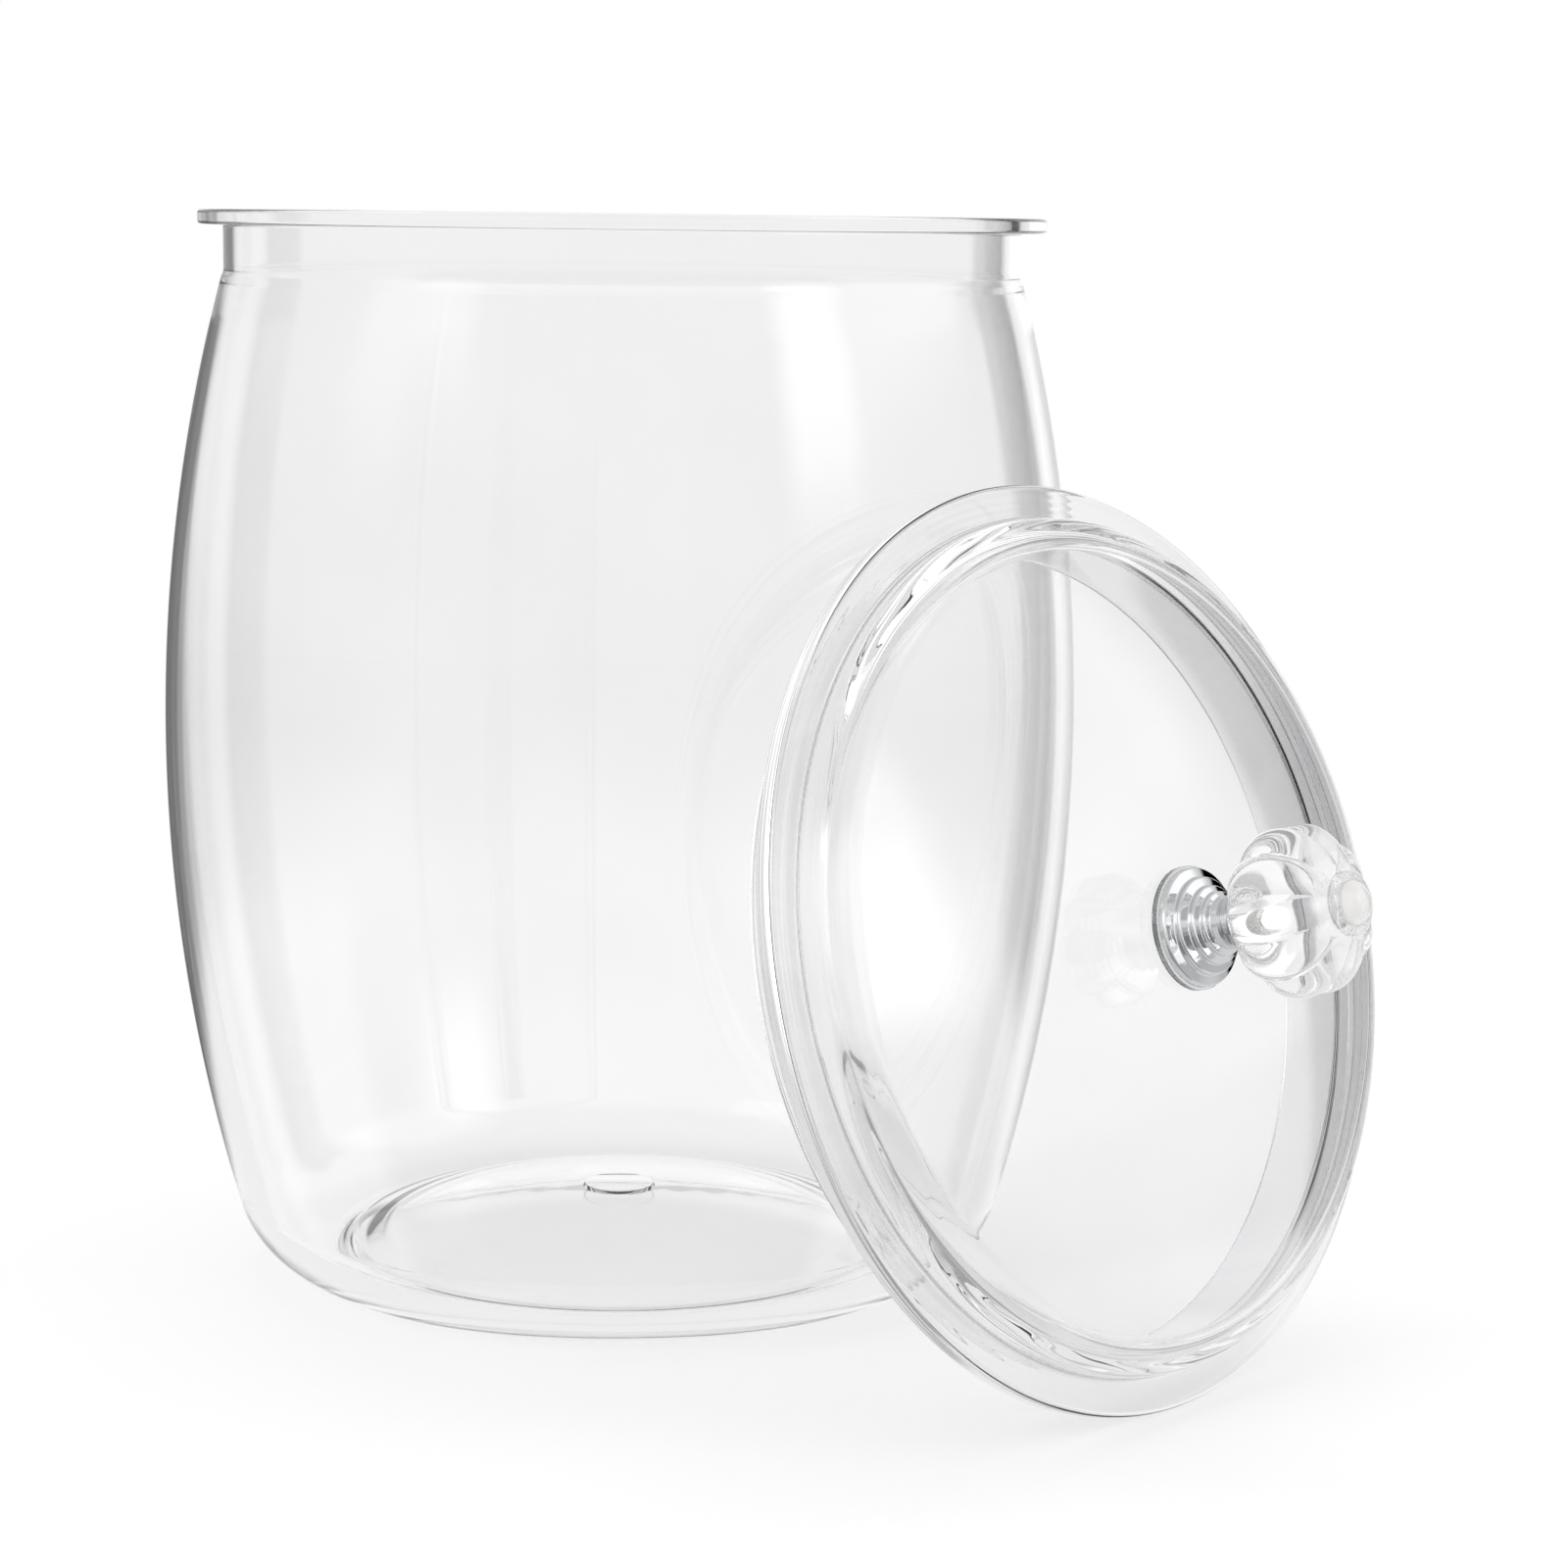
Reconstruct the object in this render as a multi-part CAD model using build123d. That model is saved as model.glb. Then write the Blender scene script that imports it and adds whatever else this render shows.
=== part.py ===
from build123d import *
import math
import os

# A clear barrel-shaped candy jar. Its domed lid has been taken off: it stands on its edge and leans
# on the jar's belly. Millimetres, Z up. The origin is the middle of the jar's foot, on the surface
# that it stands on, and +X points the way the lid leans out.

# Jar: heights are above the surface that it stands on
jar_height = 218.5
rim_radius = 86.0
rim_thickness = 3.0
rim_rounding = 0.7
rim_overhang = 5.0
neck_wall = 2.0
neck_height = 13.0
shoulder_step = 0.4
shoulder_ramp = 2.0
mouth_rounding = 0.8
belly_radius = 93.6
belly_height = 113.7
wall_at_shoulder = 1.8
wall_at_belly = 3.9
wall_at_foot = 5.0
corner_radius = 21.4

# Jar floor: a foot ring round a domed, pushed-up panel with a moulding disc in its middle
foot_ring_width = 1.6
panel_ledge = 0.8324
panel_height = 7.0
panel_slope = 2.6
panel_rise = 8.5
panel_wall = 4.6
panel_rounding = 1.5
under_slope = 2.4
foot_rounding = 1.6
gate_disc_radius = 7.6
gate_disc_height = 0.5

# Lid, measured along its own axis from the underside of its flange
lid_overhang = 1.3
lid_flange_thickness = 3.2
lid_edge_rounding = 1.4
lid_bottom_rounding = 0.5
plug_play = 1.2
plug_wall = 2.2
plug_depth = 11.2
plug_end_rounding = 0.8
flange_width = 7.1
dome_corner_height = 10.0
dome_height = 25.6
dome_wall = 2.2
dome_shoulder_rounding = 7.0
dome_inner_rounding = 5.0
dome_root_rounding = 1.0
washer_pad_radius = 8.0
washer_pad_rise = 0.4

# Lean of the lid: its axis points this many degrees above level
lean_angle = 15.2
lean_gap = 0.3

# Knob, measured along the lid's axis from the seat on the dome
seat_play = 0.03
gasket_thickness = 0.8
gasket_margin = 0.4
turning_gap = 0.05
base_radius = 11.0
base_foot_height = 1.3
base_foot_rounding = 0.6
base_foot_slope = 0.7
base_ring_radius = 9.0
base_ring_top = 3.2
base_ring_slope = 0.6
base_bead_radius = 7.2
base_bead_top = 4.9
base_bead_slope = 0.5
base_bead_rounding = 0.5
base_stem_bead_radius = 5.9
base_stem_bead_top = 6.4
base_stem_bead_slope = 0.5
base_waist_radius = 4.9
base_waist_top = 8.8
base_waist_rounding = 2.0
base_cup_radius = 7.3
base_cup_lip = 0.8
base_height = 13.4
head_radius = 15.875
head_half_length = 11.2
head_length = 20.0
head_lobes = 10
lobe_depth = 1.7
head_sections = 9
insert_radius = 2.8
insert_length = 6.6
collar_radius = 5.8
collar_thickness = 1.8
collar_rounding = 0.8
button_radius = 4.1
button_play = 0.1
button_rise = 2.5
button_spigot_radius = 2.2
button_spigot_length = 4.0

# Screw that holds the knob, from inside the lid
screw_radius = 2.0
screw_hole_play = 0.25
screw_tip_gap = 0.8
screw_head_radius = 4.0
screw_head_height = 2.6
screw_head_rounding = 1.2
screw_slot_width = 1.0
screw_slot_length = 4.6
screw_slot_depth = 1.4
washer_radius = 6.0
washer_thickness = 1.0

# Levels and radii that follow from the sizes above
shoulder_height = jar_height - neck_height
neck_radius = rim_radius - rim_overhang
neck_bore = neck_radius - neck_wall
lid_radius = rim_radius + lid_overhang
dome_radius = lid_radius - flange_width
gasket_radius = base_radius + gasket_margin
plug_radius = neck_bore - plug_play
plug_bore = plug_radius - plug_wall
screw_hole_radius = screw_radius + screw_hole_play
gasket_top = dome_height + gasket_thickness
base_bottom = gasket_top + turning_gap
base_top = base_bottom + base_height
head_top = base_top + head_length
washer_seat = dome_height - dome_wall - washer_pad_rise
screw_seat = washer_seat - washer_thickness - turning_gap


def rounded(face, corners):
    """The same outline with some of its corners, each (radius, height, rounding), rounded."""
    for radius, height, rounding in corners:
        corner = face.vertices().sort_by_distance((radius, height))[0]
        face = fillet(corner, rounding)
    return face


def turned(face):
    """Solid of revolution about Z from an outline drawn as radius across and height up."""
    return revolve(Plane.XZ * face, Axis.Z)


def box_outline(outer_radius, inner_radius, bottom, top):
    """The section of a flat ring."""
    corners = [(inner_radius, bottom), (outer_radius, bottom), (outer_radius, top), (inner_radius, top)]
    return make_face(Polyline(*corners, close=True))


def ring(outer_radius, inner_radius, bottom, top):
    """A plain flat ring."""
    return turned(box_outline(outer_radius, inner_radius, bottom, top))


def arc_about(centre, radius, start, end):
    """Arc about a centre from one height angle to another, in radians."""
    def at(angle):
        return (centre[0] + radius * math.cos(angle), centre[1] + radius * math.sin(angle))
    return ThreePointArc(at(start), at((start + end) / 2), at(end))


def cap_radius(half_width, rise):
    """Radius of the arc that rises this much over this half width."""
    return (half_width ** 2 + rise ** 2) / (2 * rise)


# The barrel's side is one arc through the belly and the shoulder, and a smaller arc turns under it
shoulder_radius = neck_radius + shoulder_step
barrel_curve = cap_radius(shoulder_height - belly_height, belly_radius - shoulder_radius)
barrel_centre = (belly_radius - barrel_curve, belly_height)
corner_reach = barrel_curve - corner_radius
corner_drop = corner_radius - belly_height
foot_radius = barrel_centre[0] + math.sqrt(corner_reach ** 2 - corner_drop ** 2)
corner_centre = (foot_radius, corner_radius)
step_radius = foot_radius - panel_ledge
panel_radius = step_radius - panel_slope
corner_angle = math.asin(corner_drop / corner_reach)


def barrel_radius(height):
    """Radius of the barrel's outer side at a height."""
    return barrel_centre[0] + math.sqrt(barrel_curve ** 2 - (height - belly_height) ** 2)


def barrel_outside():
    """The barrel's outer side, from its foot up to the shoulder."""
    top_angle = math.asin((shoulder_height - belly_height) / barrel_curve)
    corner = arc_about(corner_centre, corner_radius, -math.pi / 2, corner_angle)
    side = arc_about(barrel_centre, barrel_curve, corner_angle, top_angle)
    return [corner, side]


def barrel_inside(top):
    """The barrel's inner side up to a height. The wall is thick at the foot and thins upwards."""
    corner = arc_about(corner_centre, corner_radius - wall_at_foot, -math.pi / 2, corner_angle)
    belly = (barrel_radius(belly_height) - wall_at_belly, belly_height)
    side = ThreePointArc(corner @ 1, belly, (barrel_radius(top) - wall_at_shoulder, top))
    return [corner, side]


def panel_arc(edge_radius, edge_height, stop_radius):
    """The floor panel's dome, from its edge inwards to a radius."""
    curve = cap_radius(edge_radius, panel_rise)
    centre = (0, edge_height + panel_rise - curve)
    start = math.acos(edge_radius / curve)
    return arc_about(centre, curve, start, math.acos(stop_radius / curve))


def make_jar():
    """The jar: foot ring, pushed-up floor, barrel, neck and flat rim, in one moulding."""
    inner_top = shoulder_height - shoulder_ramp
    inner_shoulder = barrel_radius(inner_top) - wall_at_shoulder
    rim_bottom = jar_height - rim_thickness
    foot_inner = foot_radius - foot_ring_width
    under_radius = foot_inner - under_slope
    under_height = panel_height - panel_wall
    under = panel_arc(under_radius, under_height, 0.0)
    panel = panel_arc(panel_radius, panel_height, gate_disc_radius)
    disc_top = panel_height + panel_rise + gate_disc_height
    outer = Polyline(
        (shoulder_radius, shoulder_height),
        (neck_radius, shoulder_height),
        (neck_radius, rim_bottom),
        (rim_radius, rim_bottom),
        (rim_radius, jar_height),
        (neck_bore, jar_height),
        (neck_bore, shoulder_height),
        (inner_shoulder, inner_top),
    )
    floor = Polyline((foot_radius, wall_at_foot), (step_radius, wall_at_foot), panel @ 0)
    disc = Polyline(panel @ 1, (gate_disc_radius, disc_top), (0, disc_top), under @ 1)
    foot = Polyline((under_radius, under_height), (foot_inner, 0), (foot_radius, 0))
    edges = [under, foot, outer, floor, panel, disc]
    edges += barrel_outside() + barrel_inside(inner_top)
    face = rounded(
        make_face(Curve() + edges),
        [
            (rim_radius, rim_bottom, rim_rounding),
            (rim_radius, jar_height, rim_rounding),
            (neck_bore, jar_height, mouth_rounding),
            (step_radius, wall_at_foot, panel_rounding),
            (panel_radius, panel_height, panel_rounding),
            (foot_inner, 0, foot_rounding),
        ],
    )
    return turned(face)


def make_lid():
    """The lid: domed top, flange, and the plug that drops into the jar's neck, in one moulding."""
    curve = cap_radius(dome_radius, dome_height - dome_corner_height)
    centre = (0, dome_height - curve)

    def dome(radius, start, stop):
        return arc_about(centre, radius, math.acos(start / radius), math.acos(stop / radius))

    outside = dome(curve, dome_radius, gasket_radius)
    inside = dome(curve - dome_wall, plug_bore, washer_pad_radius)
    outline = Polyline(
        inside @ 0,
        (plug_bore, -plug_depth),
        (plug_radius, -plug_depth),
        (plug_radius, 0),
        (lid_radius, 0),
        (lid_radius, lid_flange_thickness),
        (dome_radius, lid_flange_thickness),
        outside @ 0,
    )
    pad = Polyline(
        outside @ 1,
        (gasket_radius, dome_height),
        (screw_hole_radius, dome_height),
        (screw_hole_radius, washer_seat),
        (washer_pad_radius, washer_seat),
        inside @ 1,
    )
    face = rounded(
        make_face(Curve() + [outline, outside, pad, inside]),
        [
            (lid_radius, 0, lid_bottom_rounding),
            (lid_radius, lid_flange_thickness, lid_edge_rounding),
            (dome_radius, lid_flange_thickness, dome_root_rounding),
            ((outside @ 0).X, (outside @ 0).Y, dome_shoulder_rounding),
            ((inside @ 0).X, (inside @ 0).Y, dome_inner_rounding),
            (plug_radius, -plug_depth, plug_end_rounding),
            (plug_bore, -plug_depth, plug_end_rounding),
        ],
    )
    return turned(face)


def make_knob_base():
    """The knob's stepped base, from its foot disc to its cup, with a socket for the insert."""
    def level(height):
        return base_bottom + height

    outline = Polyline(
        (screw_hole_radius, level(0)),
        (base_radius, level(0)),
        (base_radius, level(base_foot_height)),
        (base_ring_radius, level(base_foot_height + base_foot_slope)),
        (base_ring_radius, level(base_ring_top)),
        (base_bead_radius, level(base_ring_top + base_ring_slope)),
        (base_bead_radius, level(base_bead_top)),
        (base_stem_bead_radius, level(base_bead_top + base_bead_slope)),
        (base_stem_bead_radius, level(base_stem_bead_top)),
        (base_waist_radius, level(base_stem_bead_top + base_stem_bead_slope)),
        (base_waist_radius, level(base_waist_top)),
        (base_cup_radius, level(base_height - base_cup_lip)),
        (base_cup_radius, level(base_height)),
        (insert_radius + seat_play, base_top),
        (insert_radius + seat_play, base_top - insert_length),
        (screw_hole_radius, base_top - insert_length),
        close=True,
    )
    face = rounded(
        make_face(outline),
        [
            (base_radius, level(base_foot_height), base_foot_rounding),
            (base_ring_radius, level(base_ring_top), base_bead_rounding),
            (base_bead_radius, level(base_bead_top), base_bead_rounding),
            (base_stem_bead_radius, level(base_stem_bead_top), base_bead_rounding),
            (base_waist_radius, level(base_waist_top), base_waist_rounding),
        ],
    )
    return turned(face)


def lobed_face(height, radius):
    """A cross-section of the head: a ring of equal round lobes that meet in sharp grooves."""
    depth = lobe_depth * radius / head_radius
    step = 2 * math.pi / head_lobes

    def at(reach, angle):
        return (reach * math.cos(angle), reach * math.sin(angle))

    lobes = [
        ThreePointArc(
            at(radius - depth, index * step),
            at(radius, (index + 0.5) * step),
            at(radius - depth, (index + 1) * step),
        )
        for index in range(head_lobes)
    ]
    return Pos(0, 0, height) * make_face(Curve() + lobes)


def rod(radius, bottom, length):
    """A round rod on the axis."""
    return Pos(0, 0, bottom + length / 2) * Cylinder(radius, length)


def make_knob_head():
    """The clear melon-shaped head, with a bore for the button."""
    middle = head_length / 2
    faces = []
    for index in range(head_sections):
        height = head_length * index / (head_sections - 1)
        radius = head_radius * math.sqrt(1 - ((height - middle) / head_half_length) ** 2)
        faces.append(lobed_face(base_top + height, radius))
    melon = loft(faces)
    bore_bottom = head_top - button_spigot_length
    bore = rod(button_spigot_radius + seat_play, bore_bottom, button_spigot_length)
    return melon - bore


def make_knob_insert():
    """The metal insert in the end of the base, bored for the screw."""
    return ring(insert_radius, screw_radius + seat_play, base_top - insert_length, base_top)


def make_knob_collar():
    """The clear ring on the front of the head, round the button."""
    inner = button_radius + button_play
    top = head_top + collar_thickness
    outline = box_outline(collar_radius, inner, head_top, top)
    return turned(rounded(outline, [(collar_radius, top, collar_rounding)]))


def make_knob_button():
    """The domed button that plugs the front of the head."""
    rim = head_top + collar_thickness
    curve = cap_radius(button_radius, button_rise)
    centre = (0, rim + button_rise - curve)
    crown = arc_about(centre, curve, math.asin((rim - centre[1]) / curve), math.pi / 2)
    spigot_end = head_top - button_spigot_length
    sides = Polyline(
        crown @ 1,
        (0, spigot_end),
        (button_spigot_radius, spigot_end),
        (button_spigot_radius, head_top),
        (button_radius, head_top),
        crown @ 0,
    )
    return turned(make_face(Curve() + [crown, sides]))


def make_knob_screw():
    """The pan-head screw, with a plain shank and a cross slot, its head inside the lid."""
    head_end = screw_seat - screw_head_height
    tip = base_top - screw_tip_gap
    outline = Polyline(
        (0, head_end),
        (screw_head_radius, head_end),
        (screw_head_radius, screw_seat),
        (screw_radius, screw_seat),
        (screw_radius, tip),
        (0, tip),
        close=True,
    )
    screw = turned(rounded(make_face(outline), [(screw_head_radius, head_end, screw_head_rounding)]))
    slot = Box(screw_slot_length, screw_slot_width, screw_slot_depth)
    slot = Pos(0, 0, head_end + screw_slot_depth / 2) * slot
    return screw - slot - Rot(0, 0, 90) * slot


# The lid stands on the edge of its flange and the end of its plug touches the barrel high up
tilt = math.radians(lean_angle)
lid_centre_height = lid_radius * math.cos(tilt)
touch_height = lid_centre_height - plug_depth * math.sin(tilt) + plug_radius * math.cos(tilt)
touch_reach = plug_depth * math.cos(tilt) + plug_radius * math.sin(tilt)
lid_centre_reach = barrel_radius(touch_height) + lean_gap + touch_reach
leaning = Pos(lid_centre_reach, 0, lid_centre_height) * Rot(0, 90 - lean_angle, 0)

lid_pieces = {
    "lid_shell": make_lid(),
    "knob_gasket": ring(gasket_radius, screw_hole_radius, dome_height, gasket_top),
    "knob_base": make_knob_base(),
    "knob_head": make_knob_head(),
    "knob_insert": make_knob_insert(),
    "knob_collar": make_knob_collar(),
    "knob_button": make_knob_button(),
    "knob_screw": make_knob_screw(),
    "screw_washer": ring(washer_radius, screw_hole_radius, washer_seat - washer_thickness, washer_seat),
}
pieces = {"jar_body": make_jar()}
for name, piece in lid_pieces.items():
    pieces[name] = leaning * piece

os.makedirs("parts", exist_ok=True)
for name, piece in pieces.items():
    export_step(piece, f"parts/{name}.step")
    print(name, round(piece.volume, 1))
print("lid centre", round(lid_centre_reach, 3), round(lid_centre_height, 3))
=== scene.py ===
# %% [markdown]
# A clear candy jar with its lid taken off: the lid stands on its edge and leans on the jar's
# belly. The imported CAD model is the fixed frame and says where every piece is. This lesson
# dresses it, so that the clear plastic, the crystal knob and the chrome look as they do in a
# studio photograph.

import math
import bpy
import numpy as np
from mathutils import Matrix, Vector


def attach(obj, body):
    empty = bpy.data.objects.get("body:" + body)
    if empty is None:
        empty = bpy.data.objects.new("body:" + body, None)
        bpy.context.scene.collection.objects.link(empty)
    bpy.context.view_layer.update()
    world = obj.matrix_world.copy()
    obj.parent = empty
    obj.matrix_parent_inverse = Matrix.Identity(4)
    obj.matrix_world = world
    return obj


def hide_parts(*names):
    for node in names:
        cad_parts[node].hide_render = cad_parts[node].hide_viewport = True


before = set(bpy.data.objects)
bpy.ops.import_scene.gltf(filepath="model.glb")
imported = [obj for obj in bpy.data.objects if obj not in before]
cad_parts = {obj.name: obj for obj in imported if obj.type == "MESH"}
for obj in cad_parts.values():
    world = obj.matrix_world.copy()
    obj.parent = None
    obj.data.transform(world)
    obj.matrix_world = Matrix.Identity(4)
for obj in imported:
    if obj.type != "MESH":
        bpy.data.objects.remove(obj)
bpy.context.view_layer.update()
print("CAD nodes:", sorted(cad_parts))

# %% [markdown]
# The camera stands in front of the jar, about level with its rim, and looks slightly down. The
# lid leans out along +X, which is to the right of the camera and towards it. The lens is long,
# as for any product picture, so that the jar's sides are hardly bent by perspective.

# %% Camera
FOCAL_PIXELS = 3750
IMAGE_PIXELS = 1600
SENSOR_MM = 36
HEADING = math.radians(42.4)
PITCH = math.radians(8.688)
ROLL = math.radians(0.690)
STAND = (0.033949, -0.757375, 0.217202)

forward = Vector((0, math.cos(PITCH), -math.sin(PITCH)))
level_right = Vector((1, 0, 0))
level_up = Vector((0, math.sin(PITCH), math.cos(PITCH)))
rolled_right = level_right * math.cos(ROLL) + level_up * math.sin(ROLL)
rolled_up = level_up * math.cos(ROLL) - level_right * math.sin(ROLL)
axes = Matrix((rolled_right, rolled_up, -forward)).transposed().to_4x4()

scene = bpy.context.scene
camera = bpy.data.objects.new("camera", bpy.data.cameras.new("camera"))
camera.data.sensor_width = SENSOR_MM
camera.data.lens = SENSOR_MM * FOCAL_PIXELS / IMAGE_PIXELS
camera.data.clip_start, camera.data.clip_end = 0.02, 30
camera.matrix_world = Matrix.Rotation(HEADING, 4, "Z") @ Matrix.Translation(STAND) @ axes
scene.collection.objects.link(camera)
scene.camera = camera
scene.view_settings.view_transform = "Standard"
print("lens", round(camera.data.lens, 2), "mm, at", camera.matrix_world.translation)

# %% [markdown]
# Three helpers that every material uses. Colours are written as the sRGB hex values that a
# picture shows, but Blender's shaders want linear numbers, so one function turns them. Another
# adds a node with its settings and its links in one line. The third starts an empty material.

# %% Colour and node helpers
def linear(hex_colour):
    """Linear RGBA of an sRGB hex colour."""
    parts = [int(hex_colour[i:i + 2], 16) / 255 for i in (1, 3, 5)]
    return [c / 12.92 if c <= 0.04045 else ((c + 0.055) / 1.055) ** 2.4 for c in parts] + [1.0]


def add(tree, kind, inputs=None, **settings):
    """A new node: settings by name, and inputs as values, or as nodes or sockets to link."""
    node = tree.nodes.new(kind)
    for name, value in settings.items():
        setattr(node, name, value)
    for name, value in (inputs or {}).items():
        if isinstance(value, bpy.types.Node):
            value = next(socket for socket in value.outputs if socket.enabled)
        if isinstance(value, bpy.types.NodeSocket):
            tree.links.new(value, node.inputs[name])
        else:
            node.inputs[name].default_value = value
    return node


def new_material(name):
    """An empty node material, its tree and its output node."""
    material = bpy.data.materials.new(name)
    material.use_nodes = True
    material.node_tree.nodes.clear()
    return material, material.node_tree, add(material.node_tree, "ShaderNodeOutputMaterial")


print("#808080 in linear numbers:", [round(c, 3) for c in linear("#808080")])

# %% [markdown]
# The studio. Clear plastic has hardly any colour of its own: it is drawn by what it bends and
# mirrors. The picture shows white behind it, so whatever is seen straight or through the plastic
# is white. What is seen by reflection is the room: a white table, a pale room above it, two soft
# boxes beside the camera, and dark screens that give the clear edges their grey lines. They are
# cards in a table here, each an area of directions with a brightness, and not real objects,
# because a mirror only asks which way a ray goes.

# %% The room
SEEN_THROUGH = 0.92
AMBIENT = 0.9
ROOM = 0.8
CARDS = [
    # what it is, then in degrees its side (0 = behind the camera, + = right), half its width,
    # its lowest and highest angle and the softness of its edges, and last its brightness
    ("white table", 180, 112, -100, -16, 3, 0.87),
    ("edge of the table", 0, 200, -16, -4, 4, 0.6),
    ("foot of the wall", 0, 200, -4, 9, 5, 0.85),
    ("white backdrop", 171, 24, -20, 19, 5, 1.06),
    ("left screen", -154, 10, -16.5, 5, 4, 0.26),
    ("right screen", 132, 11, -18, 26, 4, 0.0),
    ("floor behind the camera", 0, 72, -50, -18, 10, 0.36),
    ("wall behind the camera", 0, 75, 12, 40, 12, 1.25),
    ("right window", 88, 26, 14, 52, 12, 1.4),
    ("right soft box", 57, 10, 10, 36, 9, 2.6),
    ("left soft box", -50, 9, 18, 38, 9, 1.8),
]


def card_share(tree, way, side, half, low, high, soft):
    """How much a direction looks at a card, from 0 to 1, with edges this many degrees soft."""
    spin = {"Vector": way, "Angle": -math.radians(side)}
    turned = add(tree, "ShaderNodeVectorRotate", spin, rotation_type="Z_AXIS")
    part = add(tree, "ShaderNodeSeparateXYZ", {0: turned}).outputs
    behind = add(tree, "ShaderNodeMath", {0: part[1], 1: -1.0}, operation="MULTIPLY")
    aside = add(tree, "ShaderNodeMath", {0: part[0], 1: behind}, operation="ARCTAN2")
    aside = add(tree, "ShaderNodeMath", {0: aside}, operation="ABSOLUTE")
    rise = add(tree, "ShaderNodeMath", {0: part[2]}, operation="ARCSINE")
    share = 1.0
    for value, edge, inwards in ((aside, half, -1), (rise, low, 1), (rise, high, -1)):
        first, last = (math.radians(edge + inwards * off) for off in (-soft / 2, soft / 2))
        ramp = {"Value": value, "From Min": first, "From Max": last}
        step = add(tree, "ShaderNodeMapRange", ramp, interpolation_type="SMOOTHSTEP")
        share = add(tree, "ShaderNodeMath", {0: share, 1: step}, operation="MULTIPLY")
    return share


print(len(CARDS), "cards and screens round the object")

# %% [markdown]
# The world shader asks what kind of ray is looking. A mirrored ray sees the room with its cards, a
# scattered one sees an even pale light, a ray that came through clear plastic sees nearly white,
# and the camera itself sees plain white.

# %% World
world = bpy.data.worlds.new("studio")
scene.world = world
world.use_nodes = True
tree = world.node_tree
tree.nodes.clear()
path = add(tree, "ShaderNodeLightPath").outputs
way = add(tree, "ShaderNodeTexCoord").outputs["Generated"]
spin = {"Vector": way, "Angle": -HEADING}
way = add(tree, "ShaderNodeVectorRotate", spin, rotation_type="Z_AXIS")
room = ROOM
for name, side, half, low, high, soft, brightness in CARDS:
    share = card_share(tree, way, side, half, low, high, soft)
    room = add(tree, "ShaderNodeMix", {0: share, 2: room, 3: brightness}, label=name)

glossy, diffuse = path["Glossy Depth"], path["Diffuse Depth"]
mirrored = add(tree, "ShaderNodeMath", {0: glossy, 1: 0.5}, operation="GREATER_THAN")
scattered = add(tree, "ShaderNodeMath", {0: diffuse, 1: 0.5}, operation="GREATER_THAN")
through = add(tree, "ShaderNodeMix", {0: path["Is Camera Ray"], 2: SEEN_THROUGH, 3: 1.0})
seen = add(tree, "ShaderNodeMix", {0: mirrored, 2: through, 3: room})
level = add(tree, "ShaderNodeMix", {0: scattered, 2: seen, 3: AMBIENT})
back = add(tree, "ShaderNodeBackground", {"Color": (1, 1, 1, 1), "Strength": level})
add(tree, "ShaderNodeOutputWorld", {"Surface": back})
print("world nodes:", len(tree.nodes))

# %% [markdown]
# Three soft boxes give the paper its light and the object its shadow. Two stand where the world
# has its soft boxes, and one hangs overhead. Mirrors and clear plastic don't see the lamps: they
# see the cards, whose soft edges look like the cloth of a real box.

# %% Lamps
AIM = Vector((0, 0, 0.12))


def soft_box(name, side_angle, low, high, distance, width, watts):
    """An area lamp at an angle from the camera's side, between two elevations, facing the jar."""
    rise = math.radians((low + high) / 2)
    turn = HEADING + math.radians(side_angle)
    flat = math.cos(rise)
    away = Vector((math.sin(turn) * flat, -math.cos(turn) * flat, math.sin(rise)))
    lamp = bpy.data.lights.new(name, "AREA")
    lamp.shape = "RECTANGLE"
    lamp.size = width
    lamp.size_y = 2 * distance * math.tan(math.radians((high - low) / 2))
    lamp.energy = watts
    thing = bpy.data.objects.new(name, lamp)
    thing.location = AIM + away * distance
    thing.rotation_mode = "QUATERNION"
    thing.rotation_quaternion = away.to_track_quat("Z", "Y")
    thing.visible_glossy = False
    thing.visible_transmission = False
    thing.visible_camera = False
    scene.collection.objects.link(thing)
    print(name, watts, "W,", distance, "m away")


soft_box("left_box", -50, 8, 40, 1.3, 0.62, 1.2)
soft_box("right_box", 57, 8, 40, 1.3, 0.62, 1.2)
soft_box("top_box", 180, 70, 88, 1.4, 1.0, 1.6)

# %% [markdown]
# The floor is white paper that sweeps away to the back. Near the object it is matt and takes the
# soft shadow, and far away it turns into the plain white of the background. A mirrored ray passes
# through it on to the world, where the room's own table is.

# %% Floor
FLOOR_RADIUS, FLOOR_POINTS = 6.0, 128
MATT_TO, WHITE_FROM = 0.25, 0.9  # metres from the jar's foot
PAPER_LIFT = 0.13

bpy.ops.mesh.primitive_circle_add(vertices=FLOOR_POINTS, radius=FLOOR_RADIUS, fill_type="NGON")
floor = bpy.context.object
floor.name = "floor"
material, tree, out = new_material("white paper sweep")
path = add(tree, "ShaderNodeLightPath").outputs
place = add(tree, "ShaderNodeTexCoord").outputs["Object"]
distance = add(tree, "ShaderNodeVectorMath", {0: place}, operation="LENGTH").outputs["Value"]
ramp = {"Value": distance, "From Min": MATT_TO, "From Max": WHITE_FROM}
far = add(tree, "ShaderNodeMapRange", ramp, interpolation_type="SMOOTHSTEP")
paper = add(tree, "ShaderNodeBsdfDiffuse", {"Color": linear("#F2F2F2")})
lift = add(tree, "ShaderNodeEmission", {"Color": (1, 1, 1, 1), "Strength": PAPER_LIFT})
near = add(tree, "ShaderNodeAddShader", {0: paper, 1: lift})
glow = add(tree, "ShaderNodeMix", {0: path["Is Camera Ray"], 2: SEEN_THROUGH, 3: 1.0})
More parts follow.
